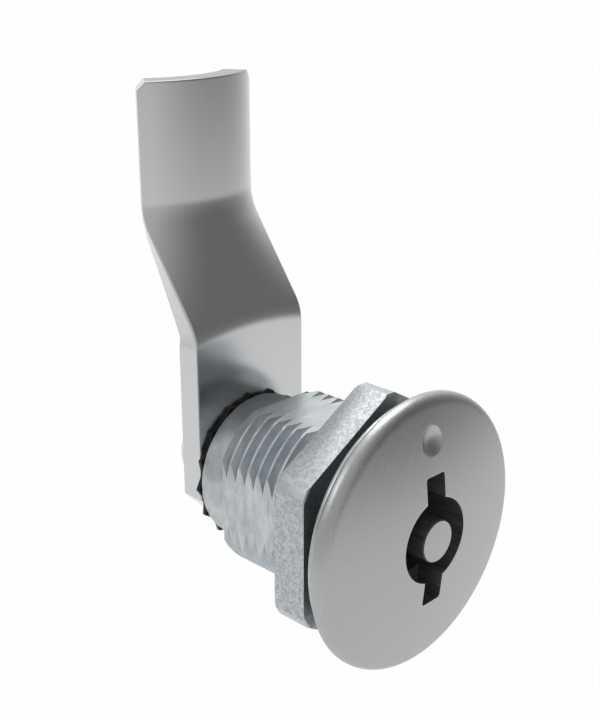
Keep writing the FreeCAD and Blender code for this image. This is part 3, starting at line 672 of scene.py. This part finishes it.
class CAMLATCH_OT_housing(bpy.types.Operator):
    """Flange, threaded body with four flats, neck and bore"""

    bl_idname = "cam_latch.housing"
    bl_label = "Housing"

    def execute(self, context):
        sizes = sizes_of(context)
        zinc, flat = material("cast_zinc"), material("flat_zinc")
        low, high = reach("housing")
        thread_end, half, hidden = 18.85, sizes.flats_width / 2, 0.5
        bar = threaded_bar(sizes, -hidden, thread_end)
        housing = new_piece("housing_body", bar, zinc, material("thread_zinc"))
        self.tint_grooves(housing, sizes.thread_radius)
        flats = block((-half, -PAST, -half), (half, thread_end + PAST, half))
        carve(housing, flats, flat, "INTERSECT")
        carve(housing, self.flange(sizes, low.y), zinc, "UNION")
        neck, edge = 9.05, 0.15
        barrel = [(0, hidden), (neck, hidden), (neck, high.y - edge), (neck - edge, high.y), (0, high.y)]
        carve(housing, lathe(barrel), zinc, "UNION")
        carve(housing, self.bore(low.y, high.y), zinc)
        carve(housing, self.stop_track(high.y), zinc)
        soften(housing, width=0.06, angle=50, segments=1)
        fit(housing, "fixed", "housing_zinc", "housing")
        self.flange_lip(zinc)
        return {"FINISHED"}

    @staticmethod
    def tint_grooves(bar, crest):
        """Give the thread's grooves the second material, but not the crests and the ends."""
        crest_margin, end_facing = 0.05, 0.95
        for polygon in bar.data.polygons:
            across = math.hypot(polygon.center.x, polygon.center.z) / MM
            groove = across < crest - crest_margin and abs(polygon.normal.y) < end_facing
            polygon.material_index = int(groove)

    @staticmethod
    def flange_lip(zinc):
        """Thin edge of the flange that shows behind the head."""
        inner, outer, front = 13.7, 15.05, -0.45
        section = [(inner, front), (outer, front), (outer, 0), (inner, 0)]
        lip = new_piece("flange_lip", lathe(section, steps=192, closed=True), zinc)
        soften(lip, width=0.08, angle=50)
        fit(lip, "fixed", "housing_zinc")

    @staticmethod
    def flange(sizes, front):
        """The round flange with a seat for a seal in its front and in its back."""
        outer, edge = 13.75, 0.3
        head_seat_inner, head_seat_outer, head_seat_floor = 9.65, 10.75, front + 0.8
        panel_seat_inner, panel_seat_outer, panel_seat_floor = sizes.thread_radius, 12.7, -1.1
        outline = [(0, front), (head_seat_inner, front), (head_seat_inner, head_seat_floor)]
        outline += [(head_seat_outer, head_seat_floor), (head_seat_outer, front)]
        outline += [(outer - edge, front), (outer, front + edge), (outer, 0), (panel_seat_outer, 0)]
        outline += [(panel_seat_outer, panel_seat_floor), (panel_seat_inner, panel_seat_floor)]
        outline += [(panel_seat_inner, 0), (0, 0)]
        return lathe(outline)

    @staticmethod
    def bore(front, back):
        """What the hub, shaft and stop collar turn in."""
        hub, hub_floor, shaft = 9.3, 0.15, 7.05
        web, throat, web_back, pocket = 16.4, 5.65, 18.4, 6.75
        before, behind = front - PAST, back + PAST
        outline = [(0, before), (hub, before), (hub, hub_floor), (shaft, hub_floor), (shaft, web)]
        outline += [(throat, web), (throat, web_back), (pocket, web_back), (pocket, behind), (0, behind)]
        return lathe(outline)

    @staticmethod
    def stop_track(back):
        """The sector of the rear pocket that the stop collar's lug turns in."""
        radius, front, sector = 7.7, reach("stop_collar")[0].y, (-23, 113)
        track = [(0, front), (radius, front), (radius, back + PAST), (0, back + PAST)]
        return lathe(track, steps=64, closed=True, sector=sector)


class CAMLATCH_OT_nut(bpy.types.Operator):
    """Hexagon nut with cut-off corners"""

    bl_idname = "cam_latch.nut"
    bl_label = "Mounting nut"

    def execute(self, context):
        sizes = sizes_of(context)
        zinc, edge = material("galvanised"), material("galvanised_edge")
        low, high = reach("mounting_nut")
        nut = new_piece("nut", hexagon(sizes.nut_width / 2, low.y, high.y), zinc)
        before, behind = low.y - PAST, high.y + PAST
        carve(nut, hexagon(sizes.nut_corner, before, behind, turn=30), edge, "INTERSECT")
        face, rise, chamfer = 15.0, 0.3, 30
        wide = face + rise / math.tan(math.radians(chamfer))
        turned = [(0, low.y), (face, low.y), (wide, low.y + rise), (wide, high.y - rise)]
        turned += [(face, high.y), (0, high.y)]
        carve(nut, lathe(turned), edge, "INTERSECT")
        soften(nut, width=0.08, angle=20)
        root, mouth, bevel = sizes.thread_radius - sizes.thread_depth, 11.3, 1.1
        bore = [(0, before), (mouth, before), (mouth, low.y), (root, low.y + bevel)]
        bore += [(root, high.y - bevel), (mouth, high.y), (mouth, behind), (0, behind)]
        carve(nut, lathe(bore, steps=96), zinc)
        carve(nut, threaded_bar(sizes, before, behind, play=0.02), zinc)
        smooth(nut)
        fit(nut, "fixed", "nut_steel", "mounting_nut")
        return {"FINISHED"}


class CAMLATCH_OT_cam(bpy.types.Operator):
    """Cranked cam with its tip pressed to an arc"""

    bl_idname = "cam_latch.cam"
    bl_label = "Cam"

    # the corners cut off the tip, as small as in the photograph
    corner_width, corner_height = 0.85, 1.0

    def execute(self, context):
        sizes = sizes_of(context)
        steel, cam_top_shade = material("satin_cam"), material("cam_top_shade_steel")
        top = reach("cam")[1].z
        cam = new_piece("cam_arm", self.front_face(sizes.cam_width / 2, top), steel, cam_top_shade)
        sheet = cam.modifiers.new("sheet", "SOLIDIFY")
        sheet.thickness = sizes.cam_thickness * MM
        sheet.offset = -1
        applied(cam)
        soften(cam, width=sizes.cam_edge, angle=50)
        before, behind = 20, 30
        carve(cam, square_cut(before, behind), steel)
        # the upward faces at the tip get the darker colour as painted shade
        upward = 0.9
        for polygon in cam.data.polygons:
            if polygon.normal.z > upward and polygon.center.z > (top - self.corner_height) * MM:
                polygon.material_index = 1
        smooth(cam, angle=12)
        fit(cam, "rotor", "cam_steel", "cam")
        return {"FINISHED"}

    @classmethod
    def front_face(cls, half, top):
        """The cam's front face, cut into a grid and pushed back along the crank and the arc."""
        flat_top, side_end, bottom, columns = 12.0, -2.3, -8.0, 32
        foot = half - (side_end - bottom)
        outline = [(foot, bottom), (half, side_end)]
        outline += [(half, top - cls.corner_height), (half - cls.corner_width, top)]
        outline += [(-x, z) for x, z in reversed(outline)]
        bm = bmesh.new()
        bm.faces.new([bm.verts.new((x * MM, 0, z * MM)) for x, z in outline])
        for height in cls.rows(flat_top, top):
            whole = bm.verts[:] + bm.edges[:] + bm.faces[:]
            bmesh.ops.bisect_plane(bm, geom=whole, plane_co=(0, 0, height * MM), plane_no=(0, 0, 1))
        for i in range(1, columns):
            across = half * (2 * i / columns - 1)
            upper = [f for f in bm.faces if f.calc_center_median().z > flat_top * MM]
            verts = dict.fromkeys(v for f in upper for v in f.verts)
            edges = dict.fromkeys(e for f in upper for e in f.edges)
            geom = [*verts, *edges, *upper]
            bmesh.ops.bisect_plane(bm, geom=geom, plane_co=(across * MM, 0, 0), plane_no=(1, 0, 0))
        for vert in bm.verts:
            vert.co.y = cls.front_place(vert.co.x / MM, vert.co.z / MM, half) * MM
        bmesh.ops.recalc_face_normals(bm, faces=bm.faces)
        if sum(f.normal.y * f.calc_area() for f in bm.faces) > 0:
            bmesh.ops.reverse_faces(bm, faces=bm.faces)
        return bm

    @staticmethod
    def rows(low, high):
        """Heights of the cuts across the arm, close together in the two bends."""
        low_bend, high_bend = (16.4, 20.8), (28.4, 32.8)
        heights, counts = (low, *low_bend, *high_bend, high), (4, 16, 8, 16, 10)
        spans = zip(heights, heights[1:], counts)
        return [a + (b - a) * i / count for a, b, count in spans for i in range(count)]

    @staticmethod
    def front_place(across, height, half):
        """Where the cam's front face lies along the lock axis."""
        front, offset, tip = reach("cam")[0].y, 6.03, 14.4
        low_bend, high_bend, high_end = 5.0, 6.0, 32.4
        low_start_side, low_start_rise = 16.6, 0.95
        low_start = low_start_side + low_start_rise * (1 - (across / half) ** 2)
        back = front + offset + tip - math.sqrt(tip**2 - across**2)
        # the slant leans so that it runs smoothly into both bends
        rise, step = high_end - low_start, back - front
        room = (low_bend + high_bend) * 2 - step
        slope = 2 * math.atan((rise - math.sqrt(rise**2 - step * room)) / room)
        if height <= low_start:
            return front
        if height <= low_start + low_bend * math.sin(slope):
            return front + low_bend - math.sqrt(low_bend**2 - (height - low_start) ** 2)
        if height <= high_end - high_bend * math.sin(slope):
            low_fold = low_start + low_bend * math.tan(slope / 2)
            return front + (height - low_fold) * math.tan(slope)
        if height <= high_end:
            return back - high_bend + math.sqrt(high_bend**2 - (high_end - height) ** 2)
        return back


class CAMLATCH_OT_fasteners(bpy.types.Operator):
    """Toothed washer in front of the cam; washers and screw behind it"""

    bl_idname = "cam_latch.fasteners"
    bl_label = "Washers and screw"

    def execute(self, context):
        self.tooth_washer()
        self.flat_washer()
        self.spring_washer()
        self.screw()
        return {"FINISHED"}

    @staticmethod
    def tooth_washer():
        """A ring of pointed teeth round a square hole."""
        low, high = reach("tooth_washer")
        count, first, tip, root = 16, 93.5, 9.4, 8.7
        pitch, half_tooth = 360 / count, 0.4
        corners = []
        for i in range(count):
            for radius, turn in ((root, -half_tooth), (tip, 0), (root, half_tooth)):
                a = math.radians(first + pitch * i + pitch * turn)
                corners.append((radius * math.cos(a), radius * math.sin(a)))
        black = material("black_steel")
        washer = new_piece("tooth_ring", plate(corners, low.y, high.y), black)
        carve(washer, square_cut(low.y - PAST, high.y + PAST), black)
        soften(washer, width=0.05, angle=30, segments=1)
        fit(washer, "rotor", "washer_black", "tooth_washer")

    @staticmethod
    def round_washer(name, low, high):
        """A ring for the screw, between the lowest and highest corner of its CAD node."""
        hole = 3.2
        section = [(hole, low.y), (high.x, low.y), (high.x, high.y), (hole, high.y)]
        return new_piece(name, lathe(section, steps=96, closed=True), material("screw_zinc"))

    @classmethod
    def flat_washer(cls):
        """The plain washer on the back of the cam."""
        washer = cls.round_washer("plain_washer", *reach("flat_washer"))
        soften(washer, width=0.15, segments=3)
        fit(washer, "rotor", "screw_steel", "flat_washer")

    @classmethod
    def spring_washer(cls):
        """The washer with a slit, under the screw's head."""
        low, high = reach("spring_washer")
        washer = cls.round_washer("split_washer", low, high)
        half_slit = 0.5
        slit = block((-half_slit, low.y - PAST, 0), (half_slit, high.y + PAST, high.x + PAST))
        carve(washer, slit, material("screw_zinc"))
        soften(washer, width=0.12, segments=2)
        fit(washer, "rotor", "screw_steel", "spring_washer")

    @staticmethod
    def screw():
        """A round-headed screw with a hexagon socket."""
        low, high = reach("cam_screw")
        shank, tip, head, head_height, rim, crown, flat = 3.0, 0.5, high.x, 3.3, 0.5, 4.2, 2.9
        socket, socket_depth = 2.0, 2
        seat = high.y - head_height
        outline = [(0, low.y), (shank - tip, low.y), (shank, low.y + tip), (shank, seat), (head, seat)]
        # the crown is an arc between the rim and the flat round the socket
        first, last = Vector((head, seat + rim)), Vector((flat, high.y))
        chord = last - first
        inward = Vector((-chord.y, chord.x)).normalized()
        centre = (first + last) / 2 + inward * math.sqrt(crown**2 - (chord.length / 2) ** 2)
        start, end = (math.degrees(math.atan2(*(p - centre).yx)) for p in (first, last))
        outline += arc(centre, crown, start, end, count=14) + [(0, high.y)]
        screw = new_piece("dome_screw", lathe(outline, steps=96), material("screw_zinc"))
        key_hole = hexagon(socket, high.y - socket_depth, high.y + PAST, turn=30)
        carve(screw, key_hole, material("screw_zinc"))
        soften(screw, width=0.1, angle=35)
        fit(screw, "rotor", "screw_steel", "cam_screw")


class CAMLATCH_OT_seals(bpy.types.Operator):
    """O-ring behind the flange, and finishes for what lies inside"""

    bl_idname = "cam_latch.seals"
    bl_label = "Seals and inner parts"

    def execute(self, context):
        low, high = reach("panel_seal")
        cord, middle = (high.y - low.y) / 2, (low.y + high.y) / 2
        # the lathe closes the circle, so its last point is left out
        points = 32
        section = arc((high.x - cord, middle), cord, 0, 360 - 360 / points, points - 1)
        seal = new_piece("flange_seal", lathe(section, closed=True), material("rubber"))
        smooth(seal)
        fit(seal, "fixed", "seal_rubber", "panel_seal")
        inner_finishes = {
            "head_seal": "rubber",
            "shaft_seal_front": "rubber",
            "shaft_seal_rear": "rubber",
            "stop_collar": "cast_zinc",
            "wave_spring": "screw_zinc",
            "glide_washer": "glide_plastic",
        }
        for cad_node, name in inner_finishes.items():
            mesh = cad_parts[cad_node].data
            mesh.materials.clear()
            mesh.materials.append(material(name))
        return {"FINISHED"}


class CAMLATCH_OT_stage(bpy.types.Operator):
    """Floor, studio light and camera"""

    bl_idname = "cam_latch.stage"
    bl_label = "Stage"

    def execute(self, context):
        scene = context.scene
        self.floor(scene)
        self.studio(scene)
        self.lamps(scene)
        self.camera(scene)
        scene.view_settings.view_transform = "Standard"
        return {"FINISHED"}

    @staticmethod
    def floor(scene):
        """A white table top that mirrors the studio at a grazing angle."""
        bm = bmesh.new()
        half_size, height = 4, -0.05
        bmesh.ops.create_grid(bm, x_segments=2, y_segments=2, size=half_size)
        bmesh.ops.translate(bm, vec=(0, 0, height), verts=bm.verts)
        plain = bpy.data.materials.new("plain_floor")
        plain.use_nodes = True
        tree = plain.node_tree
        paint = tree.nodes["Principled BSDF"]
        paint.inputs["Roughness"].default_value = 0.9
        paint.inputs["Base Color"].default_value = (*scene.cam_latch_colours.floor, 1)
        path = node(tree, "ShaderNodeLightPath")
        camera, glossy = path.outputs["Is Camera Ray"], path.outputs["Is Glossy Ray"]
        seen = maths(tree, "MAXIMUM", camera, glossy)
        seen = maths(tree, "MAXIMUM", seen, path.outputs["Is Transmission Ray"])
        white = node(tree, "ShaderNodeEmission", Color=(1, 1, 1, 1), Strength=1.0)
        # what is left of the paint keeps the latch's shadow
        white_share = 0.975
        share = maths(tree, "MULTIPLY", seen, white_share)
        top = node(tree, "ShaderNodeMixShader", i0=share, i1=paint.outputs[0], i2=white.outputs[0])
        facing = node(tree, "ShaderNodeLayerWeight", Blend=0.5).outputs["Facing"]
        first_mirror, full_mirror = 0.63, 0.97
        grazing = remap(tree, facing, first_mirror, full_mirror, 0.0, 1.0, "SMOOTHSTEP")
        grazing = maths(tree, "MULTIPLY", grazing, glossy)
        mirror = node(tree, "ShaderNodeBsdfGlossy", Color=(1, 1, 1, 1), Roughness=0.1)
        whole = node(tree, "ShaderNodeMixShader", i0=grazing, i1=top.outputs[0], i2=mirror.outputs[0])
        tree.links.new(whole.outputs[0], tree.nodes["Material Output"].inputs["Surface"])
        new_piece("floor", bm, plain)

    @staticmethod
    def studio(scene):
        """Soft grey room, darker at the front right and white behind the latch.

        Each part of the room starts and is complete at a cosine from its own direction.
        """
        world = bpy.data.worlds.new("studio")
        scene.world = world
        world.use_nodes = True
        tree = world.node_tree
        direction = node(tree, "ShaderNodeTexCoord").outputs["Generated"]

        def towards(*aim):
            settings = {"operation": "DOT_PRODUCT"}
            aimed = node(tree, "ShaderNodeVectorMath", settings, i0=direction, i1=Vector(aim).normalized())
            return aimed.outputs["Value"]

        wall_level, ceiling_level, white_level, dark_level = 0.64, 1.08, 1.05, 0.2
        room = remap(tree, towards(0.5, 0.5, 0.7), 0.45, 0.9, wall_level, ceiling_level)
        white = remap(tree, towards(0.68, 0.71, 0.15), 0.86, 0.95, 0.0, 1.0, "SMOOTHSTEP")
        dark = remap(tree, towards(0.6, -0.68, 0.42), 0.43, 0.96, 0.0, 1.0)
        level = mixed(tree, dark, mixed(tree, white, room, white_level), dark_level)
        tree.links.new(level, tree.nodes["Background"].inputs["Strength"])
        tree.nodes["Background"].inputs["Color"].default_value = (1, 1, 1, 1)

    @staticmethod
    def lamps(scene):
        """Two soft discs at the same distance; size in metres, power in watts."""
        distance = 0.7
        for name, aim, size, power in (
            ("overhead", (0.28, 0.32, 0.90), 0.48, 1.5),
            ("left", (-0.70, 0.33, 0.63), 0.3, 0.53),
        ):
            lamp = bpy.data.lights.new(name, "AREA")
            lamp.shape = "DISK"
            lamp.size = size
            lamp.energy = power
            holder = bpy.data.objects.new(name, lamp)
            holder.location = Vector(aim).normalized() * distance
            holder.rotation_euler = (-holder.location).to_track_quat("-Z", "Y").to_euler()
            scene.collection.objects.link(holder)

    @staticmethod
    def camera(scene):
        """The photograph's viewpoint, for a frame of 600 by 720 pixels."""
        frame_height, focal_pixels = 720, 1219.126
        lens = bpy.data.cameras.new("camera")
        lens.sensor_fit = "VERTICAL"
        lens.sensor_height = 36.0
        lens.sensor_width = 30.0
        lens.lens = focal_pixels / frame_height * lens.sensor_height
        lens.clip_start = 0.01
        lens.clip_end = 20
        camera = bpy.data.objects.new("camera", lens)
        right = Vector((0.7042, -0.7100, -0.0016)).normalized()
        back = Vector((-0.66655, -0.66175, 0.34322)).normalized()
        turn = Matrix((right, back.cross(right), back)).transposed()
        place = Vector((-93.540, -76.886, 63.708)) * MM
        camera.matrix_world = Matrix.Translation(place) @ turn.to_4x4()
        scene.collection.objects.link(camera)
        scene.camera = camera


class CAMLATCH_PT_panel(bpy.types.Panel):
    """Sizes, colours and steps of the latch"""

    bl_label = "Cam latch"
    bl_idname = "CAMLATCH_PT_panel"
    bl_space_type = "VIEW_3D"
    bl_region_type = "UI"
    bl_category = "Cam latch"

    def draw(self, context):
        for group in (context.scene.cam_latch_sizes, context.scene.cam_latch_colours):
            box = self.layout.box()
            for name in group.__annotations__:
                box.prop(group, name)
        for step in STEPS:
            self.layout.operator(step.bl_idname)


STEPS = (
    CAMLATCH_OT_housing,
    CAMLATCH_OT_nut,
    CAMLATCH_OT_seals,
    CAMLATCH_OT_head,
    CAMLATCH_OT_pin,
    CAMLATCH_OT_cam,
    CAMLATCH_OT_fasteners,
    CAMLATCH_OT_stage,
)
CLASSES = (CamLatchSizes, CamLatchColours, *STEPS, CAMLATCH_PT_panel)


def register():
    for cls in CLASSES:
        bpy.utils.register_class(cls)
    bpy.types.Scene.cam_latch_sizes = bpy.props.PointerProperty(type=CamLatchSizes)
    bpy.types.Scene.cam_latch_colours = bpy.props.PointerProperty(type=CamLatchColours)


def unregister():
    del bpy.types.Scene.cam_latch_colours
    del bpy.types.Scene.cam_latch_sizes
    for cls in reversed(CLASSES):
        bpy.utils.unregister_class(cls)


def main():
    """Make every piece and the stage."""
    register()
    for step in STEPS:
        group, name = step.bl_idname.split(".")
        getattr(getattr(bpy.ops, group), name)()


if __name__ == "__main__":
    main()
